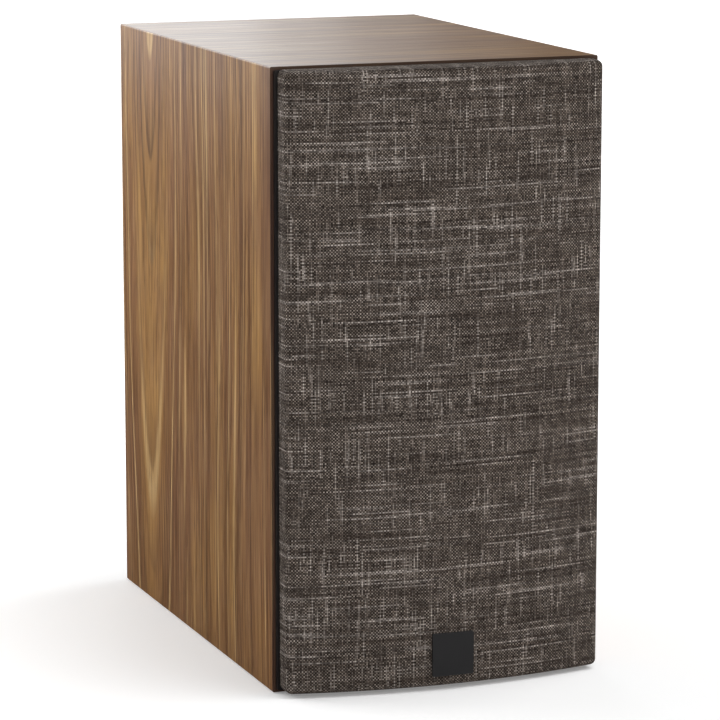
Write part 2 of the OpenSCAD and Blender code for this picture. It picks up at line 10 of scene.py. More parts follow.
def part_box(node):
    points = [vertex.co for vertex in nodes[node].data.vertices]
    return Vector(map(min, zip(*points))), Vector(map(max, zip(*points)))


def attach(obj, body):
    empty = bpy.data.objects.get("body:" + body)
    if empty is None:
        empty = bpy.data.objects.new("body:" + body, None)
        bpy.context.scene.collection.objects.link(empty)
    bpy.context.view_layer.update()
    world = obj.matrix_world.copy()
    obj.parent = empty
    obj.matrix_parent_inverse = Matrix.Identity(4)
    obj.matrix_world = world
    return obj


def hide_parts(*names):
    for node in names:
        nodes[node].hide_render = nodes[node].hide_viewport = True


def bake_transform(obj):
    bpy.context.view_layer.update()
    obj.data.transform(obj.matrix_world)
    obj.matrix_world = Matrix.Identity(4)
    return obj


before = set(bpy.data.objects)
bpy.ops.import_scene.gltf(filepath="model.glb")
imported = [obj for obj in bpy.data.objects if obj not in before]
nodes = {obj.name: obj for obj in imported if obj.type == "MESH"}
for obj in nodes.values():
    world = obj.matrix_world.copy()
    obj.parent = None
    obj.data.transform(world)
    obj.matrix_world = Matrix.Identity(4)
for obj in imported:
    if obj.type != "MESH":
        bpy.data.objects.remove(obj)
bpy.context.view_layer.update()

MM = 0.001


def span(name):
    """(low, high) corners of a CAD node, in metres."""
    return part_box(name)


shell_low, shell_high = span("side_panel_left")[0], span("side_panel_right")[1]
shell_front = shell_low.y


# ---------------------------------------------------------------- shader graphs


def fill_ramp(ramp, stops):
    """Gives a colour ramp its stops, each a place from 0 to 1 and a linear colour."""
    while len(ramp.elements) < len(stops):
        ramp.elements.new(0.5)
    for element, (place, color) in zip(ramp.elements, stops):
        element.position = place
        element.color = (*color, 1)


class Shader:
    """A material with a Principled shader, and short calls that add nodes to it."""

    def __init__(self, name, color=(0.5, 0.5, 0.5), roughness=0.5, **sockets):
        self.mat = bpy.data.materials.new(name)
        self.mat.use_nodes = True
        self.tree = self.mat.node_tree
        self.bsdf = self.tree.nodes["Principled BSDF"]
        self.set(base_color=color, roughness=roughness, **sockets)

    def set(self, **sockets):
        """Sets or links sockets of the Principled shader, by their names in lower case."""
        for key, value in sockets.items():
            title = key.replace("_", " ")
            found = next(s for s in self.bsdf.inputs if s.name.lower() == title)
            self.feed(found, value)

    def feed(self, socket, value):
        """Links a node's output to a socket, or sets the socket to a number or colour."""
        if isinstance(value, bpy.types.NodeSocket):
            self.tree.links.new(value, socket)
            return
        if socket.type == "RGBA" and len(value) == 3:
            value = (*value, 1)
        socket.default_value = value

    def add(self, kind, values=(), out=0, **settings):
        """Adds a node, feeds its sockets by place or by name, and returns one of its outputs."""
        node = self.tree.nodes.new(kind)
        for key, value in settings.items():
            setattr(node, key, value)
        pairs = values.items() if isinstance(values, dict) else enumerate(values)
        for key, value in pairs:
            if value is not None:
                self.feed(node.inputs[key], value)
        return node.outputs[out]

    def math(self, operation, *values):
        return self.add("ShaderNodeMath", values, operation=operation)

    def vmath(self, operation, *values, out=0):
        return self.add("ShaderNodeVectorMath", values, out=out, operation=operation)

    def scale(self, vector, amount):
        return self.vmath("SCALE", vector, None, None, amount)

    def position(self):
        """Metres in the CAD frame, so a pattern keeps its real size and rides with its piece."""
        return self.add("ShaderNodeTexCoord", out="Object")

    def split(self, vector):
        node = self.tree.nodes.new("ShaderNodeSeparateXYZ")
        self.feed(node.inputs[0], vector)
        return node.outputs[0], node.outputs[1], node.outputs[2]

    def join(self, x=0.0, y=0.0, z=0.0):
        return self.add("ShaderNodeCombineXYZ", (x, y, z))

    def noise(self, vector, scale, detail=2.0, roughness=0.5, distortion=0.0):
        values = {
            "Vector": vector, "Scale": scale, "Detail": detail,
            "Roughness": roughness, "Distortion": distortion,
        }
        return self.add("ShaderNodeTexNoise", values, out="Fac")

    def stretched(self, a, a_scale, b, b_scale, seed):
        """Texture coordinates from two values, each at a scale of its own."""
        return self.join(self.math("MULTIPLY", a, a_scale), self.math("MULTIPLY", b, b_scale), seed)

    def random(self, vector):
        """A random number for each vector."""
        return self.add("ShaderNodeTexWhiteNoise", {"Vector": vector}, noise_dimensions="3D")

    def cells(self, vector, scale, **settings):
        values = {"Vector": vector, "Scale": scale}
        return self.add("ShaderNodeTexVoronoi", values, out="Distance", **settings)

    def remap(self, value, low, high, to_low=0.0, to_high=1.0):
        """Takes low to high onto to_low to to_high, and holds the ends."""
        values = (value, low, high, to_low, to_high)
        return self.add("ShaderNodeMapRange", values, clamp=True)

    def mix(self, factor, a, b):
        node = self.tree.nodes.new("ShaderNodeMix")
        node.data_type = "RGBA"
        self.feed(node.inputs[0], factor)
        self.feed(node.inputs[6], a)
        self.feed(node.inputs[7], b)
        return node.outputs[2]

    def mix_value(self, factor, a, b):
        """The number a where the factor is 0, and b where it is 1."""
        return self.add("ShaderNodeMapRange", (factor, 0.0, 1.0, a, b))

    def ramp(self, value, stops):
        node = self.tree.nodes.new("ShaderNodeValToRGB")
        fill_ramp(node.color_ramp, stops)
        self.feed(node.inputs[0], value)
        return node.outputs[0]

    def bump(self, height, distance, strength):
        return self.add("ShaderNodeBump", {"Height": height, "Distance": distance, "Strength": strength})


def shade(color, amount):
    """A colour made lighter or darker by a factor."""
    return tuple(min(1.0, c * amount) for c in color)


def srgb(r, g, b):
    """Linear colour from the usual 0 to 255 values."""
    return tuple(c / 255 / 12.92 if c <= 10 else ((c / 255 + 0.055) / 1.055) ** 2.4 for c in (r, g, b))


# ---------------------------------------------------------------- materials


RING_LEAN = 0.068
RINGS_PER_METRE = 290.0
ROSY_WOOD = srgb(138, 99, 74)
LATE_WOOD = srgb(76, 50, 32)
EARLY_WOOD = srgb(203, 168, 116)
DARK_FIBRE = srgb(86, 55, 33)
PALE_FIBRE = srgb(204, 170, 122)
PORE = srgb(50, 31, 19)
# the colour of the painted shade on the panels' front edges
EDGE_PAINTED_SHADE = srgb(62, 42, 36)


def walnut(name, along, seed, face_level, heart=0.065, top=0.57, joint=None, painted_shade_factor=1.0):
    """Satin-lacquered walnut veneer whose grain runs on the axis along, 0 for X or 2 for Z.

    The log's rings are cut at a slight lean, so round the line y = heart they close into pointed
    arches, nested towards top on the axis along. With a joint, a second leaf of straight grain
    starts in front of that y. The face lies at face_level on the third axis."""
    s = Shader(name)
    place = s.split(s.position())
    run = place[along]
    # the third axis carries the streaks on round the panel's edges
    beyond = s.math("SUBTRACT", place[2 - along], face_level)
    y = s.math("ADD", place[1], s.math("MULTIPLY", beyond, 0.9))
    wave = s.noise(s.stretched(y, 9.0, run, 4.5, seed), 1.0, 1.0, 0.4)
    ripple = s.noise(s.stretched(y, 60.0, run, 9.0, seed + 3), 1.0, 3.0, 0.6)
    across = s.math("ADD", y, s.math("MULTIPLY", s.math("SUBTRACT", wave, 0.5), 0.016))
    across = s.math("ADD", across, s.math("MULTIPLY", s.math("SUBTRACT", ripple, 0.5), 0.0009))
    off = s.math("SUBTRACT", across, heart)
    deep = s.math("MULTIPLY", s.math("SUBTRACT", top, run), RING_LEAN)
    rings = s.math("SQRT", s.math("ADD", s.math("MULTIPLY", off, off), s.math("MULTIPLY", deep, deep)))
    if joint is not None:
        front = s.math("LESS_THAN", y, joint)
        straight = s.math("ADD", s.math("MULTIPLY", across, 1.4), 0.3)
        rings = s.math("ADD", rings, s.math("MULTIPLY", front, s.math("SUBTRACT", straight, rings)))
    # broad bands that follow the rings
    band = s.noise(s.stretched(rings, 75.0, run, 2.2, seed + 7), 1.0, 3.0, 0.62)
    tone = s.ramp(band, [
        (0.28, srgb(92, 59, 34)), (0.42, srgb(126, 88, 52)), (0.53, srgb(153, 111, 65)),
        (0.62, srgb(171, 129, 75)), (0.72, srgb(195, 154, 95)),
    ])
    # rosy and greyish clouds
    cloud = s.noise(s.stretched(y, 22.0, run, 8.0, seed + 5), 1.0, 3.0, 0.6)
    tone = s.mix(s.remap(cloud, 0.40, 0.60, 0.0, 0.55), tone, ROSY_WOOD)
    # late wood: a dark line at the end of each ring, here strong and there faint
    ring = s.math("FRACT", s.math("MULTIPLY", rings, RINGS_PER_METRE))
    line = s.math("MULTIPLY", s.remap(ring, 0.45, 0.9), s.remap(ring, 0.93, 1.0, 1.0, 0.0))
    strong = s.noise(s.stretched(rings, 130.0, run, 5.0, seed), 1.0, 2.0)
    line = s.math("MULTIPLY", line, s.remap(strong, 0.38, 0.66, 0.05, 0.8))
    tone = s.mix(line, tone, LATE_WOOD)
    # golden early wood
    gold = s.noise(s.stretched(rings, 300.0, run, 2.5, seed + 11), 1.0, 2.0, 0.6)
    tone = s.mix(s.remap(gold, 0.55, 0.66, 0.0, 0.8), tone, EARLY_WOOD)
    # fibre and pores, drawn out along the grain
    fibre = s.noise(s.stretched(across, 1100.0, run, 14.0, seed), 1.0, 3.0, 0.75)
    tone = s.mix(s.remap(fibre, 0.46, 0.6, 0.0, 0.62), tone, DARK_FIBRE)
    tone = s.mix(s.remap(fibre, 0.46, 0.34, 0.0, 0.4), tone, PALE_FIBRE)
    pore = s.cells(s.stretched(across, 800.0, run, 55.0, seed), 1.0)
    busy = s.noise(s.stretched(rings, 210.0, run, 9.0, seed + 2), 1.0)
    pore = s.math("MULTIPLY", s.remap(pore, 0.08, 0.26, 1.0, 0.0), s.remap(busy, 0.42, 0.58))
    tone = s.mix(s.math("MULTIPLY", pore, 0.85), tone, PORE)
    # painted shade: the tone is scaled by a factor, below 1 on a panel that is lit more strongly
    tone = s.scale(tone, painted_shade_factor)
    # painted shade: the mitred panels' front edges, which sit in the shaded gap behind the grille, are
    # darkened to a plum brown
    rim = s.remap(place[1], shell_front + 0.2 * MM, shell_front + 0.5 * MM, 0.8, 0.0)
    s.set(base_color=s.mix(rim, tone, EDGE_PAINTED_SHADE))
    s.set(normal=s.bump(s.math("SUBTRACT", s.math("MULTIPLY", fibre, 0.4), pore), 0.00005, 0.4))
    s.set(roughness=s.remap(fibre, 0.3, 0.8, 0.3, 0.42), specular_ior_level=0.42)
    return s.mat


def melange(name, pitch):
    """Plain-weave cloth of light weft and dark warp, with a yarn every pitch.

    The UV map called cloth gives metres along both yarns."""
    s = Shader(name, roughness=0.9)
    uv = s.add("ShaderNodeUVMap", uv_map="cloth")
    drift = s.noise(uv, 35.0, 2.0)
    flat_u, flat_v, _ = s.split(uv)
    sway = s.math("MULTIPLY", s.math("SUBTRACT", drift, 0.5), 0.8)
    u = s.math("ADD", s.math("DIVIDE", flat_u, pitch), sway)
    v = s.math("ADD", s.math("DIVIDE", flat_v, pitch), s.math("MULTIPLY", sway, 1.3))
    warp, weft = s.math("FLOOR", u), s.math("FLOOR", v)
    in_u = s.math("ABSOLUTE", s.math("SUBTRACT", s.math("FRACT", u), 0.5))
    in_v = s.math("ABSOLUTE", s.math("SUBTRACT", s.math("FRACT", v), 0.5))
    # how light each yarn is along its length, and where a weft yarn swells into a slub
    warp_tone = s.noise(s.stretched(warp, 7.31, v, 0.03, 3.0), 1.0, 2.0, 0.55)
    weft_tone = s.noise(s.stretched(u, 0.013, weft, 9.17, 8.0), 1.0, 2.0, 0.5)
    slub = s.remap(weft_tone, 0.59, 0.64)
    weft_up = s.math("FLOORED_MODULO", s.math("ADD", warp, weft), 2.0)
    weft_color = s.ramp(weft_tone, [
        (0.36, srgb(98, 88, 80)), (0.47, srgb(126, 116, 107)),
        (0.58, srgb(144, 134, 126)), (0.66, srgb(164, 155, 148)),
    ])
    warp_color = s.ramp(warp_tone, [
        (0.36, srgb(34, 27, 23)), (0.50, srgb(60, 51, 45)),
        (0.59, srgb(90, 80, 73)), (0.66, srgb(164, 155, 148)),
    ])
    yarn = s.mix(weft_up, warp_color, weft_color)
    yarn = s.mix(s.math("MULTIPLY", slub, 0.3), yarn, weft_color)
    # every yarn is spun a little lighter or darker than the next, and every float a little different
    spun = s.mix_value(weft_up, s.random(s.join(warp, 3.0, 0.5)), s.random(s.join(weft, 7.0, 0.5)))
    float_tone = s.random(s.join(warp, weft))
    shade_by = s.math("ADD", s.math("MULTIPLY", spun, 0.35), s.math("MULTIPLY", float_tone, 0.65))
    yarn = s.scale(yarn, s.remap(shade_by, 0.0, 1.0, 0.15, 2.1))
    # the yarn is round, and dives under its neighbours at both ends of each float
    side = s.mix_value(weft_up, in_u, in_v)
    length = s.mix_value(weft_up, in_v, in_u)
    rounded = s.math("SUBTRACT", 1.0, s.math("POWER", s.math("MULTIPLY", side, 1.9), 2.4))
    sunk = s.math("POWER", s.math("MULTIPLY", length, 2.0), 2.6)
    dive = s.math("SUBTRACT", 1.0, s.math("MULTIPLY", sunk, 0.8))
    crown = s.math("MAXIMUM", s.math("MULTIPLY", rounded, dive), 0.0)
    raised = s.math("SUBTRACT", 1.0, s.math("POWER", s.math("MULTIPLY", in_v, 1.9), 2.4))
    crown = s.math("MAXIMUM", crown, s.math("MULTIPLY", slub, raised))
    hairs = s.noise(s.stretched(u, 4.0, v, 4.0, 1.0), 1.0, 2.0, 0.6)
    patch = s.noise(uv, 90.0, 3.0, 0.6)
    yarn = s.mix(s.remap(hairs, 0.4, 0.75, 0.0, 0.3), yarn, srgb(52, 44, 40))
    # neighbouring yarns that are darker together
    groups = s.noise(s.stretched(warp, 0.16, v, 0.04, 5.0), 1.0, 2.0, 0.6)
    rows = s.noise(s.stretched(u, 0.04, weft, 0.16, 6.0), 1.0, 2.0, 0.6)
    groups = s.math("ADD", groups, rows)
    yarn = s.mix(s.remap(groups, 0.85, 1.2, 0.0, 0.4), yarn, srgb(48, 39, 34))
    yarn = s.mix(s.remap(patch, 0.46, 0.7, 0.0, 0.3), yarn, srgb(50, 41, 36))
    # painted shade: where the crown falls away, at each yarn's sides, at the ends of its floats and in the
    # gaps between yarns, the colour goes to near black; the crown also gives the bump below
    s.set(base_color=s.mix(s.remap(crown, 0.1, 0.7), srgb(20, 15, 13), yarn))
    height = s.math("ADD", crown, s.math("MULTIPLY", hairs, 0.15))
    s.set(normal=s.bump(height, 0.00012, 0.5))
    s.set(specular_ior_level=0.12)
    return s.mat


def painted(name, color, roughness, grain=900.0, depth=0.00003, mottle=0.12, **sockets):
    """Paint or moulded plastic: a fine even grain, with slight changes of tone and gloss over it."""
    s = Shader(name, color, roughness, **sockets)
    place = s.position()
    broad = s.noise(place, 28.0, 4.0, 0.6)
    fine = s.noise(place, grain, 2.0, 0.6)
    gloss = s.math("ADD", broad, s.math("MULTIPLY", fine, 0.5))
    s.set(base_color=s.mix(s.remap(broad, 0.3, 0.7), shade(color, 1 - mottle), shade(color, 1 + mottle)))
    s.set(roughness=s.remap(gloss, 0.5, 1.0, roughness - 0.05, roughness + 0.06))
    s.set(normal=s.bump(fine, depth, 0.6))
    return s.mat


LINE_SCALE, LINE_STRETCH = 2600.0, 18.0


def metal(name, color, roughness):
    """Turned or plated metal with faint lines round the drivers' axis and worn patches."""
    s = Shader(name, color, roughness, metallic=1.0)
    place = s.position()
    parts = list(s.split(place))
    parts[1] = s.math("MULTIPLY", parts[1], LINE_STRETCH)
    stretched = s.join(*parts)
    brush = s.noise(s.scale(stretched, LINE_SCALE / LINE_STRETCH), 1.0, 3.0, 0.6)
    patch = s.noise(place, 90.0, 3.0, 0.6)
    s.set(base_color=s.mix(s.remap(patch, 0.35, 0.7), shade(color, 0.86), color))
    s.set(roughness=s.remap(s.math("ADD", brush, patch), 0.7, 1.3, roughness - 0.06, roughness + 0.1))
    s.set(normal=s.bump(brush, 0.00001, 0.35))
    return s.mat


def pulp(name, color, fleck):
    """Pressed paper with short fibres in it."""
    s = Shader(name, color, 0.72)
    place = s.position()
    swirl = s.add("ShaderNodeTexNoise", {"Vector": place, "Scale": 160.0}, out="Color")
    bend = s.vmath("ADD", place, s.scale(swirl, 0.006))
    strands = s.cells(bend, 420.0, feature="DISTANCE_TO_EDGE")
    strands = s.remap(strands, 0.0, 0.07, 1.0, 0.0)
    patch = s.noise(place, 380.0, 3.0, 0.7)
    fibre = s.math("MULTIPLY", strands, s.remap(patch, 0.46, 0.62))
    cloudy = s.noise(place, 45.0, 3.0, 0.6)
    base = s.mix(s.remap(cloudy, 0.3, 0.7), shade(color, 0.75), shade(color, 1.25))
    s.set(base_color=s.mix(s.math("MULTIPLY", fibre, 0.8), base, fleck))
    s.set(normal=s.bump(s.math("ADD", patch, fibre), 0.00008, 0.6))
    return s.mat


def fine_cloth(name, color, pitch, roughness=0.8):
    """A thin even weave on a small part, such as a dome or a spider."""
    s = Shader(name, color, roughness, sheen_weight=0.3)
    x, _, z = s.split(s.position())
    a = s.math("SINE", s.math("MULTIPLY", x, 2 * math.pi / pitch))
    b = s.math("SINE", s.math("MULTIPLY", z, 2 * math.pi / pitch))
    fluff = s.math("MULTIPLY", s.noise(s.position(), 700.0), 0.8)
    weave = s.math("ADD", s.math("MULTIPLY", a, b), fluff)
    s.set(base_color=s.mix(s.remap(weave, -0.6, 1.4), shade(color, 0.6), shade(color, 1.35)))
    s.set(normal=s.bump(weave, 0.00004, 0.5))
    return s.mat


def windings(name, color, wire, axis):
    """Enamelled wire wound round an axis: fine ridges a wire apart."""
    s = Shader(name, color, 0.28, metallic=0.9, coat_weight=0.5, coat_roughness=0.15)
    along = s.split(s.position())[axis]
    ridge = s.math("ABSOLUTE", s.math("SINE", s.math("MULTIPLY", along, math.pi / wire)))
    patch = s.noise(s.position(), 120.0, 3.0)
    # painted shade: the grooves between the turns are darkened to 0.35 of the wire's colour; the ridges also
    # give the bump
    s.set(base_color=s.mix(s.remap(ridge, 0.0, 0.6), shade(color, 0.35), color))
    s.set(roughness=s.remap(patch, 0.3, 0.7, 0.2, 0.4), normal=s.bump(ridge, wire * 0.4, 0.8))
    return s.mat


def felt(name, color):
    """Needled felt: tangled fibre with thicker and thinner clumps."""
    s = Shader(name, color, 0.95, sheen_weight=0.4)
    place = s.position()
    tangle = s.noise(place, 520.0, 6.0, 0.75, 1.5)
    clump = s.noise(place, 60.0, 4.0, 0.6)
    value = s.math("ADD", s.math("MULTIPLY", tangle, 0.6), s.math("MULTIPLY", clump, 0.4))
    s.set(base_color=s.ramp(value, [(0.32, shade(color, 0.45)), (0.5, color), (0.68, shade(color, 1.3))]))
    s.set(normal=s.bump(value, 0.0012, 0.8))
    return s.mat


def fibreboard(name, color):
    """Bare fibreboard: fine chips and specks of dust."""
    s = Shader(name, color, 0.8)
    place = s.position()
    chips = s.noise(place, 900.0, 4.0, 0.8)
    dust = s.cells(place, 1300.0)
    base = s.ramp(chips, [(0.35, shade(color, 0.55)), (0.5, color), (0.65, shade(color, 1.4))])
    s.set(base_color=s.mix(s.remap(dust, 0.0, 0.5, 0.25, 0.0), base, shade(color, 0.4)))
    s.set(normal=s.bump(chips, 0.0001, 0.5))
    return s.mat


def circuit_board(name, color):
    """Lacquered board: raised copper tracks over a glass weave."""
    s = Shader(name, color, 0.35)
    x, y, _ = s.split(s.position())
    tracks = s.add("ShaderNodeTexBrick", {
        "Vector": s.join(x, y, 0.0), "Scale": 60.0, "Mortar Size": 0.06, "Color1": (0, 0, 0, 1),
        "Color2": (0, 0, 0, 1), "Mortar": (1, 1, 1, 1), "Brick Width": 1.3, "Row Height": 0.55,
    }, out="Fac")
    threads = [s.math("SINE", s.math("MULTIPLY", value, 5200.0)) for value in (x, y)]
    weave = s.math("MULTIPLY", *threads)
    base = s.mix(s.remap(weave, -1.0, 1.0, 0.0, 0.2), color, shade(color, 1.8))
    s.set(base_color=s.mix(s.math("MULTIPLY", tracks, 0.7), base, shade(color, 2.4)))
    s.set(normal=s.bump(tracks, 0.00006, 0.6))
    return s.mat


def paper_floor(name, color, near_glow, far_glow):
    """Pale studio paper with the faintest tooth. It glows with painted light, weaker near the object and
    stronger away from it.
    """
    s = Shader(name, color, 0.9, specular_ior_level=0.1)
    tooth = s.noise(s.position(), 300.0, 3.0)
    s.set(base_color=s.mix(tooth, shade(color, 0.99), color))
    s.set(normal=s.bump(tooth, 0.0001, 0.15))
    distance = s.vmath("LENGTH", s.position(), out=1)
    # painted light: the emission grows from near_glow at the object to far_glow away from it
    s.set(emission_color=color, emission_strength=s.remap(distance, 0.25, 1.4, near_glow, far_glow))
    return s.mat


LACQUERED = {"coat_weight": 0.6, "coat_roughness": 0.1}

looks = {
    "walnut_left": walnut("walnut_left", 2, 4.0, shell_low.x, joint=0.012),
    "walnut_right": walnut("walnut_right", 2, 23.0, shell_high.x, joint=-0.02),
    # painted shade: the top's veneer is made 0.8 as bright as the sides, to offset the stronger light on it
    "walnut_top": walnut("walnut_top", 0, 9.0, shell_high.z, heart=0.21, top=0.4, painted_shade_factor=0.8),
    "walnut_bottom": walnut("walnut_bottom", 0, 31.0, shell_low.z, heart=-0.2, top=0.5),
    "grille_cloth": melange("grille_cloth", 0.74 * MM),
    "satin_black": painted("satin_black", srgb(34, 31, 31), 0.38, 500.0, 0.00004, specular_ior_level=0.45),
    "moulded_black": painted("moulded_black", srgb(28, 28, 29), 0.45, 1400.0, 0.00004),
    "badge_black": painted("badge_black", srgb(37, 36, 37), 0.5, 1800.0, 0.00002),
    "rubber": painted("rubber", srgb(26, 26, 27), 0.62, 800.0, 0.00003),
    "powder_coat": painted("powder_coat", srgb(36, 36, 38), 0.42, 1100.0, 0.00009),
    "black_steel": painted("black_steel", srgb(30, 30, 31), 0.3, 1500.0, 0.00002, metallic=0.85),
    "red_plastic": painted("red_plastic", srgb(158, 26, 22), 0.22, 700.0, 0.00001, **LACQUERED),
    "gloss_black": painted("gloss_black", srgb(22, 22, 23), 0.22, 700.0, 0.00001, **LACQUERED),
    "nylon": painted("nylon", srgb(214, 212, 204), 0.5, 900.0, 0.00003),
    "film_wrap": painted("film_wrap", srgb(186, 152, 44), 0.2, 300.0, 0.00004, coat_weight=0.5),
    "cement": painted("cement", srgb(222, 217, 202), 0.85, 700.0, 0.00016, mottle=0.2),
    "lead_red": painted("lead_red", srgb(140, 32, 26), 0.45, 600.0, 0.00003),
    "lead_black": painted("lead_black", srgb(30, 30, 31), 0.45, 600.0, 0.00003),
    "lead_blue": painted("lead_blue", srgb(38, 48, 110), 0.45, 600.0, 0.00003),
    "gold": metal("gold", srgb(214, 172, 92), 0.24),
    "plated_steel": metal("plated_steel", srgb(186, 186, 184), 0.34),
    "foil": metal("foil", srgb(208, 208, 210), 0.3),
    "ferrite": painted("ferrite", srgb(58, 58, 61), 0.55, 1000.0, 0.00012, mottle=0.25),
    "cone_paper": pulp("cone_paper", srgb(74, 44, 30), srgb(150, 102, 70)),
    "dome_silk": fine_cloth("dome_silk", srgb(24, 24, 26), 0.45 * MM, 0.55),
    "spider_cloth": fine_cloth("spider_cloth", srgb(176, 140, 64), 0.9 * MM),
    "coil_wire": windings("coil_wire", srgb(190, 110, 58), 0.28 * MM, 1),
    "choke_wire": windings("choke_wire", srgb(190, 110, 58), 1.1 * MM, 2),
    "felt": felt("felt", srgb(196, 191, 180)),
    "fibreboard": fibreboard("fibreboard", srgb(176, 144, 102)),
    "circuit_board": circuit_board("circuit_board", srgb(30, 84, 52)),
}

NODE_LOOKS = {
    "walnut_left": ["side_panel_left"],
    "walnut_right": ["side_panel_right"],
    "walnut_top": ["top_panel"],
    "walnut_bottom": ["bottom_panel"],
    "satin_black": ["front_baffle", "rear_panel"],
    "fibreboard": ["cabinet_brace"],
    "felt": ["damping_pads"],
    "moulded_black": ["port_tube", "grille_frame", "tweeter_faceplate", "tweeter_rear_chamber",
                      "terminal_plate"],
    "grille_cloth": ["grille_fabric"],
    "badge_black": ["grille_badge"],
    "rubber": ["grille_sockets", "woofer_gasket", "woofer_surround", "tweeter_gasket"],
    "powder_coat": ["woofer_basket"],
    "cone_paper": ["woofer_cone", "woofer_dust_cap"],
    "foil": ["woofer_coil_former", "tweeter_coil_former"],
    "coil_wire": ["woofer_voice_coil", "tweeter_voice_coil"],
    "choke_wire": ["crossover_inductors"],
    "spider_cloth": ["woofer_spider"],
    "plated_steel": ["woofer_top_plate", "woofer_yoke", "tweeter_top_plate", "tweeter_yoke", "post_nuts",
                     "post_washer_red", "post_washer_black", "crossover_screws"],
    "ferrite": ["woofer_magnet", "tweeter_magnet"],
    "gold": ["woofer_terminals", "tweeter_terminals", "post_shafts"],
    "black_steel": ["woofer_screws", "tweeter_screws", "terminal_screws"],
    "dome_silk": ["tweeter_dome", "tweeter_surround"],
    "red_plastic": ["post_collar_red", "post_cap_red"],
    "gloss_black": ["post_collar_black", "post_cap_black"],
    "circuit_board": ["crossover_board"],
    "nylon": ["crossover_standoffs"],
    "film_wrap": ["crossover_capacitors"],
    "cement": ["crossover_resistors"],
    "lead_red": ["input_leads"],
    "lead_black": ["woofer_leads"],
    "lead_blue": ["tweeter_leads"],
}


def dress(obj, look):
    """Gives an object one of the materials in looks."""
    obj.data.materials.clear()
    obj.data.materials.append(looks[look])


for look, names in NODE_LOOKS.items():
    for name in names:
        dress(nodes[name], look)


# ---------------------------------------------------------------- CAD edges


# Widths in mm. The other nodes keep sharp edges: a bevel left creases on the large triangulated faces.
BEVELS = {"grille_badge": 0.25, "port_tube": 0.25, "crossover_resistors": 0.5, "crossover_capacitors": 0.8}
BEVEL_ABOVE = math.radians(35)
SPLIT_ABOVE = math.radians(32)
WELD_WITHIN = 0.01 * MM


def smooth(mesh):
    for polygon in mesh.polygons:
        polygon.use_smooth = True


def finish_edges(name):
    """Smooth curved faces and clean or slightly rounded edges. The mesh's vertices stay as they are."""
    obj = nodes[name]
    smooth(obj.data)
    weld = obj.modifiers.new("weld", "WELD")
    weld.merge_threshold = WELD_WITHIN
    if name in BEVELS:
        bevel = obj.modifiers.new("bevel", "BEVEL")
        bevel.width = BEVELS[name] * MM
        bevel.segments = 2
        bevel.limit_method = "ANGLE"
        bevel.angle_limit = BEVEL_ABOVE
        even = obj.modifiers.new("even_normals", "WEIGHTED_NORMAL")
        even.weight = 100
    else:
        split = obj.modifiers.new("hard_edges", "EDGE_SPLIT")
        split.split_angle = SPLIT_ABOVE


for name in nodes:
    finish_edges(name)


# ---------------------------------------------------------------- meshes


def link(name, data):
    """A new object in the scene, from mesh, light or camera data."""
    obj = bpy.data.objects.new(name, data)
    bpy.context.scene.collection.objects.link(obj)
    return obj


def new_object(name, mesh, look):
    obj = link(name, mesh)
    dress(obj, look)
    return obj


def new_piece(name, mesh, look, body, stands_for):
    """A smooth piece that rides on a body and stands for a CAD node."""
    obj = new_object(name, mesh, look)
    smooth(mesh)
    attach(obj, body)
    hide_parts(stands_for)
    return obj


def new_mesh(name, points, faces):
    mesh = bpy.data.meshes.new(name)
    mesh.from_pydata(points, [], faces)
    return mesh


def turn_outwards(mesh, merge=None):
    """Makes the faces look outwards, after merging points that lie within merge of each other."""
    work = bmesh.new()
    work.from_mesh(mesh)
    if merge:
        bmesh.ops.remove_doubles(work, verts=work.verts, dist=merge)
        bmesh.ops.dissolve_degenerate(work, edges=work.edges, dist=merge)
    bmesh.ops.recalc_face_normals(work, faces=work.faces)
    work.to_mesh(mesh)
    work.free()


def grid_faces(rows, columns, offset=0):
    """Four-sided faces over a grid of points that starts at index offset."""
    return [
        (offset + i * columns + j, offset + i * columns + j + 1,
         offset + (i + 1) * columns + j + 1, offset + (i + 1) * columns + j)
        for i in range(rows - 1) for j in range(columns - 1)
    ]


def woven_sheet(name, patches):
    """One mesh from grids of points that share their borders, with the cloth's flat metres as its UV map."""
    points, flats, faces = [], [], []
    for grid, flat in patches:
        rows, columns = grid.shape[:2]
        faces += grid_faces(rows, columns, len(points))
        points += [tuple(p) for p in grid.reshape(-1, 3)]
        flats += [tuple(f) for f in flat.reshape(-1, 2)]
    mesh = new_mesh(name, points, faces)
    layer = mesh.uv_layers.new(name="cloth")
    corners = np.zeros(len(mesh.loops), np.int32)
    mesh.loops.foreach_get("vertex_index", corners)
    layer.data.foreach_set("uv", np.array(flats, np.float32)[corners].ravel())
    turn_outwards(mesh, merge=0.002 * MM)
    return mesh


# The grille cloth follows the CAD grille: a curved face that turns round small corners to flat sides.
low, high = span("grille_fabric")
CLOTH_T = 0.8 * MM
CORNER = 3.0 * MM
FACE_CURVE = 300 * MM
corner_x = high.x - CORNER
middle_y = low.y + FACE_CURVE
reach = FACE_CURVE - CORNER
lean_angle = math.asin(corner_x / reach)
corner_y = middle_y - reach * math.cos(lean_angle)


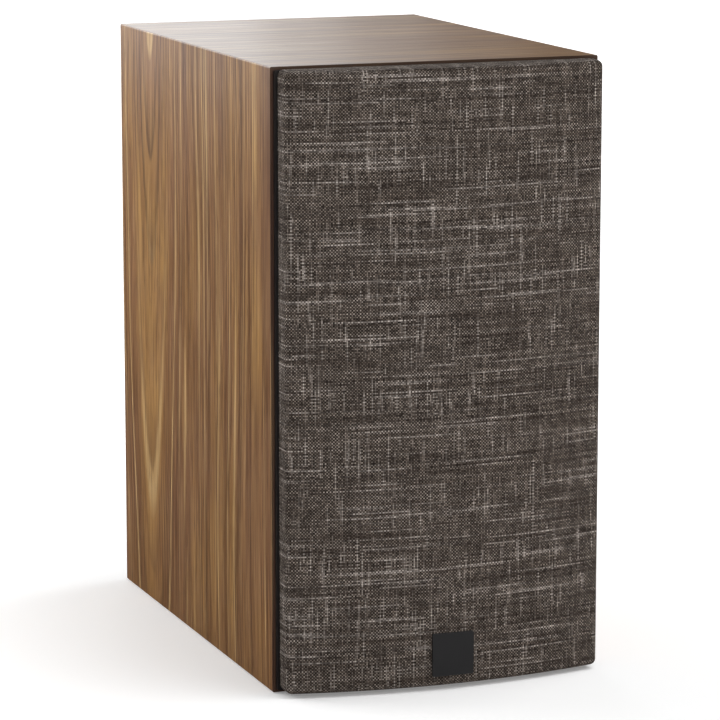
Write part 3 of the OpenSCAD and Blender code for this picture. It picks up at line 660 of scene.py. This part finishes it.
def plan_path():
    """Stations across the cloth: core point (x, y), outward direction (x, y) and flat distance."""
    stations = []
    back = high.y
    side_steps, corner_steps, face_steps = 6, 8, 120
    for k in range(side_steps + 1):
        y = back + (corner_y - back) * k / side_steps
        stations.append(((-corner_x, y), (-1.0, 0.0)))
    for k in range(1, corner_steps + 1):
        a = math.pi / 2 + (lean_angle - math.pi / 2) * k / corner_steps
        stations.append(((-corner_x, corner_y), (-math.sin(a), -math.cos(a))))
    for k in range(1, face_steps + 1):
        a = -lean_angle + 2 * lean_angle * k / face_steps
        outward = (math.sin(a), -math.cos(a))
        stations.append(((reach * outward[0], middle_y + reach * outward[1]), outward))
    for k in range(1, corner_steps + 1):
        a = lean_angle + (math.pi / 2 - lean_angle) * k / corner_steps
        stations.append(((corner_x, corner_y), (math.sin(a), -math.cos(a))))
    for k in range(1, side_steps + 1):
        y = corner_y + (back - corner_y) * k / side_steps
        stations.append(((corner_x, y), (1.0, 0.0)))
    core = np.array([s[0] for s in stations])
    out = np.array([s[1] for s in stations])
    skin = core + CORNER * out
    steps = np.linalg.norm(np.diff(skin, axis=0), axis=1)
    flat = np.concatenate([[0], np.cumsum(steps)])
    flat -= flat[-1] / 2
    first = side_steps + corner_steps
    return core, out, flat, slice(first, first + face_steps + 1), side_steps


def make_cloth():
    """The face, its turned edges and sides as one grid, and a lid over the top and the bottom."""
    core, out, flat_u, face, side_steps = plan_path()
    z0, z1 = low.z + CORNER, high.z - CORNER
    turn_steps, rise_steps = 8, 200
    rows = [(z0, -math.pi / 2 * (1 - k / turn_steps)) for k in range(turn_steps)]
    rows += [(z0 + (z1 - z0) * k / rise_steps, 0.0) for k in range(rise_steps + 1)]
    rows += [(z1, math.pi / 2 * (k + 1) / turn_steps) for k in range(turn_steps)]
    z_core = np.array([r[0] for r in rows])[:, None]
    turn = np.array([r[1] for r in rows])[:, None]
    flat_v = (z_core + CORNER * turn)[:, 0]
    shape = (len(rows), len(flat_u))
    skin = np.zeros((*shape, 3))
    skin[..., 0] = core[:, 0] + CORNER * out[:, 0] * np.cos(turn)
    skin[..., 1] = core[:, 1] + CORNER * out[:, 1] * np.cos(turn)
    skin[..., 2] = z_core + CORNER * np.sin(turn)
    flats = np.stack(np.broadcast_arrays(flat_u[None, :], flat_v[:, None]), -1)
    patches = [(skin, flats)]
    for end, sign in ((skin[0, face], -1), (skin[-1, face], 1)):
        share = (np.arange(side_steps + 1) / side_steps)[:, None]
        lid = np.zeros((side_steps + 1, end.shape[0], 3))
        lid[..., 0] = end[:, 0]
        lid[..., 1] = end[:, 1] + share * (high.y - end[:, 1])
        lid[..., 2] = end[:, 2]
        edge_v = flat_v[-1] if sign > 0 else flat_v[0]
        lid_v = edge_v + sign * (lid[..., 1] - end[:, 1])
        lid_u = np.broadcast_to(flat_u[face], lid_v.shape)
        patches.append((lid, np.stack([lid_u, lid_v], -1)))
    mesh = woven_sheet("grille_cloth", patches)
    cloth = new_piece("grille_cloth", mesh, "grille_cloth", "grille", "grille_fabric")
    thick = cloth.modifiers.new("thickness", "SOLIDIFY")
    thick.thickness = CLOTH_T
    thick.offset = -1


make_cloth()


# Soft rings of the two drivers. Depths are measured back from the baffle's face.
face_y = span("front_baffle")[0].y


def middle_of(name):
    """The middle of a CAD node's box."""
    a, b = span(name)
    return (a + b) / 2


def arc(cx, cy, radius, start, end, steps):
    """Points on an arc between two angles in degrees."""
    angles = [math.radians(start + (end - start) * k / steps) for k in range(steps + 1)]
    return [(cx + radius * math.cos(a), cy + radius * math.sin(a)) for a in angles]


def lathe(name, outline, centre, turns=128):
    """A mesh turned about the line that runs back through centre.

    The outline is closed, and its points are (radius, depth) in mm."""
    count = len(outline)
    points, faces = [], []
    for k in range(turns):
        a = 2 * math.pi * k / turns
        for radius, depth in outline:
            x = centre.x + radius * MM * math.cos(a)
            z = centre.z + radius * MM * math.sin(a)
            points.append((x, face_y + depth * MM, z))
    for k in range(turns):
        here, ahead = k * count, (k + 1) % turns * count
        for j in range(count):
            i = (j + 1) % count
            faces.append((here + j, here + i, ahead + i, ahead + j))
    mesh = new_mesh(name, points, faces)
    turn_outwards(mesh, merge=0.001 * MM)
    return mesh


def flexing_ring(name, outline, centre, look, node):
    """A ring turned from an outline and baked into place, standing for a CAD node that is hidden.
    """
    ring = new_object(name, lathe(name, outline, centre), look)
    smooth(ring.data)
    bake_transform(ring)
    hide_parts(node)


def half_roll(middle, radius, thick, depth, inner_lip, outer_lip, steps):
    """Outline of a rolled edge between two flat lips: the roll stands forward of them."""
    return (
        [(outer_lip, depth), (outer_lip, depth - thick)]
        + arc(middle, depth - thick, radius, 0, -180, steps)
        + [(inner_lip, depth - thick), (inner_lip, depth)]
        + arc(middle, depth, radius - thick, -180, 0, steps)
    )


def spider_outline(inner, outer, depth, thick, wave):
    """Outline of a corrugated disc with flat landings. The corrugations are 4 mm apart, wave mm deep."""
    first, last = inner + 3, outer - 6
    radii = np.arange(first, last, 0.25)
    front = [(float(r), depth - thick - math.sin((r - first) * math.pi / 2) * wave) for r in radii]
    back = [(r, d + thick) for r, d in reversed(front)]
    outer_end = [(outer, depth - thick), (outer, depth)]
    return [(inner, depth - thick)] + front + outer_end + back + [(inner, depth)]


def dome_outline(radius, height, depth, thick, steps=40):
    """Outline of a thin spherical cap that bulges forward from a rim at depth."""
    ball = (radius * radius + height * height) / (2 * height)
    half = math.degrees(math.asin(radius / ball))
    middle = depth - height + ball
    return arc(0, middle, ball, -90, half - 90, steps) + arc(0, middle, ball - thick, half - 90, -90, steps)


woofer = middle_of("woofer_gasket")
tweeter = middle_of("tweeter_gasket")
flexing_ring(
    "woofer_roll",
    half_roll(middle=47.75, radius=4.75, thick=0.5, depth=1.8, inner_lip=39.5, outer_lip=56.3, steps=28),
    woofer, look="rubber", node="woofer_surround",
)
flexing_ring(
    "woofer_spider_disc",
    spider_outline(inner=13, outer=44.3, depth=31, thick=0.6, wave=1.0),
    woofer, look="spider_cloth", node="woofer_spider",
)
flexing_ring(
    "tweeter_roll",
    half_roll(middle=15.9, radius=1.9, thick=0.3, depth=4.4, inner_lip=14.0, outer_lip=21.0, steps=20),
    tweeter, look="dome_silk", node="tweeter_surround",
)
dome = lathe("tweeter_dome_cap", dome_outline(radius=14, height=5.5, depth=4.4, thick=0.35), tweeter)
new_piece("tweeter_dome_cap", dome, "dome_silk", "tweeter_moving", "tweeter_dome")


PAD_THICK = 8 * MM
PAD_ROWS, PAD_COLUMNS = 41, 61
PAD_RIM, PAD_CROWN = 0.35, 0.53
LUMPS_PER_METRE, LUMP_HEIGHT = 55, 0.09


def felt_front(side, y, z, low, high):
    """How far the felt stands off the panel at (y, z): rounded to its edges, with soft lumps."""
    to_edge = min(y - low.y, high.y - y, z - low.z, high.z - z)
    crown = math.sqrt(1 - (1 - min(1.0, to_edge / PAD_THICK * 1.4)) ** 2)
    where = Vector((y * LUMPS_PER_METRE, z * LUMPS_PER_METRE, side * 9.0))
    lump = noise.fractal(where, 1.0, 2.0, 3) * LUMP_HEIGHT
    return PAD_THICK * (PAD_RIM + PAD_CROWN * crown + lump * crown)


def grid_rim(rows, columns):
    """The border points of a grid, in order round it."""
    first_row = list(range(columns))
    last_column = [i * columns + columns - 1 for i in range(1, rows)]
    last_row = [(rows - 1) * columns + j for j in range(columns - 2, -1, -1)]
    first_column = [i * columns for i in range(rows - 2, 0, -1)]
    return first_row + last_column + last_row + first_column


def felt_pad(side):
    """A slab of needled felt on a side panel, with rounded edges and an uneven face."""
    low, high = span("damping_pads")
    wall_x = high.x * side
    front = np.zeros((PAD_ROWS, PAD_COLUMNS, 3))
    for i in range(PAD_ROWS):
        for j in range(PAD_COLUMNS):
            y = low.y + (high.y - low.y) * j / (PAD_COLUMNS - 1)
            z = low.z + (high.z - low.z) * i / (PAD_ROWS - 1)
            front[i, j] = (wall_x - side * felt_front(side, y, z, low, high), y, z)
    back = front.copy()
    back[..., 0] = wall_x - side * 0.05 * MM
    points = [tuple(p) for p in np.concatenate([front.reshape(-1, 3), back.reshape(-1, 3)])]
    offset = PAD_ROWS * PAD_COLUMNS
    faces = grid_faces(PAD_ROWS, PAD_COLUMNS)
    faces += [tuple(reversed(f)) for f in grid_faces(PAD_ROWS, PAD_COLUMNS, offset)]
    rim = grid_rim(PAD_ROWS, PAD_COLUMNS)
    faces += [(a, a + offset, b + offset, b) for a, b in zip(rim, rim[1:] + rim[:1])]
    name = "felt_pad_left" if side < 0 else "felt_pad_right"
    mesh = new_mesh(name, points, faces)
    turn_outwards(mesh)
    pad = new_piece(name, mesh, "felt", "cabinet", "damping_pads")


for side in (-1, 1):
    felt_pad(side)


# ---------------------------------------------------------------- stage, lights, camera


PAPER = (0.93, 0.93, 0.93)
CARD_BLUE = (0.93, 0.97, 1.0)


def aim_at(obj, direction):
    """Turns a light or camera to look along direction."""
    obj.rotation_euler = Vector(direction).to_track_quat("-Z", "Y").to_euler()


def area_light(name, place, aim, size, power, color=(1, 1, 1)):
    data = bpy.data.lights.new(name, "AREA")
    data.shape = "RECTANGLE"
    data.size, data.size_y = size
    data.energy = power
    data.color = color
    light = link(name, data)
    light.location = place
    aim_at(light, Vector(aim) - Vector(place))
    light.visible_camera = False
    return light


def sun_light(name, direction, power, angle):
    data = bpy.data.lights.new(name, "SUN")
    data.energy = power
    data.angle = math.radians(angle)
    aim_at(link(name, data), direction)


def sky():
    """Soft studio surroundings: dim at the horizon, brighter overhead, nearly dark below."""
    world = bpy.data.worlds.new("studio")
    world.use_nodes = True
    tree = world.node_tree
    place = tree.nodes.new("ShaderNodeTexCoord")
    parts = tree.nodes.new("ShaderNodeSeparateXYZ")
    ramp = tree.nodes.new("ShaderNodeValToRGB")
    height = tree.nodes.new("ShaderNodeMapRange")
    height.inputs["From Min"].default_value = -1.0
    tree.links.new(place.outputs["Generated"], parts.inputs[0])
    tree.links.new(parts.outputs[2], height.inputs[0])
    tree.links.new(height.outputs[0], ramp.inputs[0])
    tree.links.new(ramp.outputs[0], tree.nodes["Background"].inputs[0])
    levels = [(0.0, 0.02), (0.49, 0.03), (0.55, 0.10), (0.8, 0.22), (1.0, 0.6)]
    fill_ramp(ramp.color_ramp, [(up, (level, level, level)) for up, level in levels])
    bpy.context.scene.world = world


def floor():
    """A sheet of paper just below the object. It isn't mirrored, because that would veil the wood."""
    # painted light: the floor glows 0.22 near the object and 0.65 away from it
    looks["paper"] = paper_floor("paper", PAPER, near_glow=0.22, far_glow=0.65)
    half = 14.0
    corners = [(-half, -half, 0), (half, -half, 0), (half, half, 0), (-half, half, 0)]
    sheet = new_object("floor", new_mesh("floor", corners, [(0, 1, 2, 3)]), "paper")
    sheet.location.z = -0.2 * MM
    sheet.visible_glossy = False


def backdrop():
    """A pale wall far round the floor. Only the camera sees it: it doesn't light or shade the object."""
    looks["wall"] = paper_floor("wall", PAPER, near_glow=1.0, far_glow=1.1)
    radius, bottom, top, turns = 13.0, -0.01, 9.0, 96
    angles = [2 * math.pi * k / turns for k in range(turns)]
    points = [(radius * math.cos(a), radius * math.sin(a), z) for z in (bottom, top) for a in angles]
    faces = [(k, (k + 1) % turns, turns + (k + 1) % turns, turns + k) for k in range(turns)]
    wall = new_object("wall", new_mesh("wall", points, faces), "wall")
    wall.visible_diffuse = wall.visible_glossy = wall.visible_transmission = wall.visible_shadow = False


def lights():
    sun_light("overhead", (-0.48, 0.15, -0.86), 1.7, 50)
    area_light("front", (0.3, -2.0, 0.8), (0, 0, 0.13), (1.5, 1.5), 8)
    # not mirrored, because it would blow out the top from the right
    left = area_light("left", (-0.8, 0.55, 0.5), (0, 0, 0.15), (0.6, 0.6), 5.0)
    left.visible_glossy = False
    # a low card that greys the upper back of the left side
    area_light("side_card", (-0.45, 1.2, 0.36), (-0.45, 0, 0.36), (0.45, 0.4), 0.8)
    # cards one behind another, so that their reflection in the top fades out towards the right
    left_edge, card_z, card_height = -0.6, 0.62, 0.58
    for k, right_edge in enumerate((0.26, 0.34, 0.43, 0.53)):
        width = right_edge - left_edge
        x = right_edge - width / 2
        back = 0.9 + 0.04 * k
        power = 1.6 - 0.38 * k
        area_light(
            "back_card_" + str(k), (x, back, card_z), (x, 0, card_z), (width, card_height), power, CARD_BLUE
        )


LENS, SENSOR = 180.0, 36
AZIMUTH, ELEVATION = math.radians(-20.35), math.radians(10.4)
LOOK_AT = Vector((0.0059, 0.0005, 0.1254))
DISTANCE = 1.706
FARTHEST = 100


def camera():
    data = bpy.data.cameras.new("camera")
    data.lens = LENS
    data.sensor_width = SENSOR
    data.clip_end = FARTHEST
    eye = link("camera", data)
    level = Vector((math.sin(AZIMUTH), -math.cos(AZIMUTH), 0)) * math.cos(ELEVATION)
    back = level + Vector((0, 0, math.sin(ELEVATION)))
    eye.location = LOOK_AT + back * DISTANCE
    aim_at(eye, -back)
    bpy.context.scene.camera = eye


floor()
backdrop()
sky()
lights()
camera()
bpy.context.scene.view_settings.view_transform = "Standard"
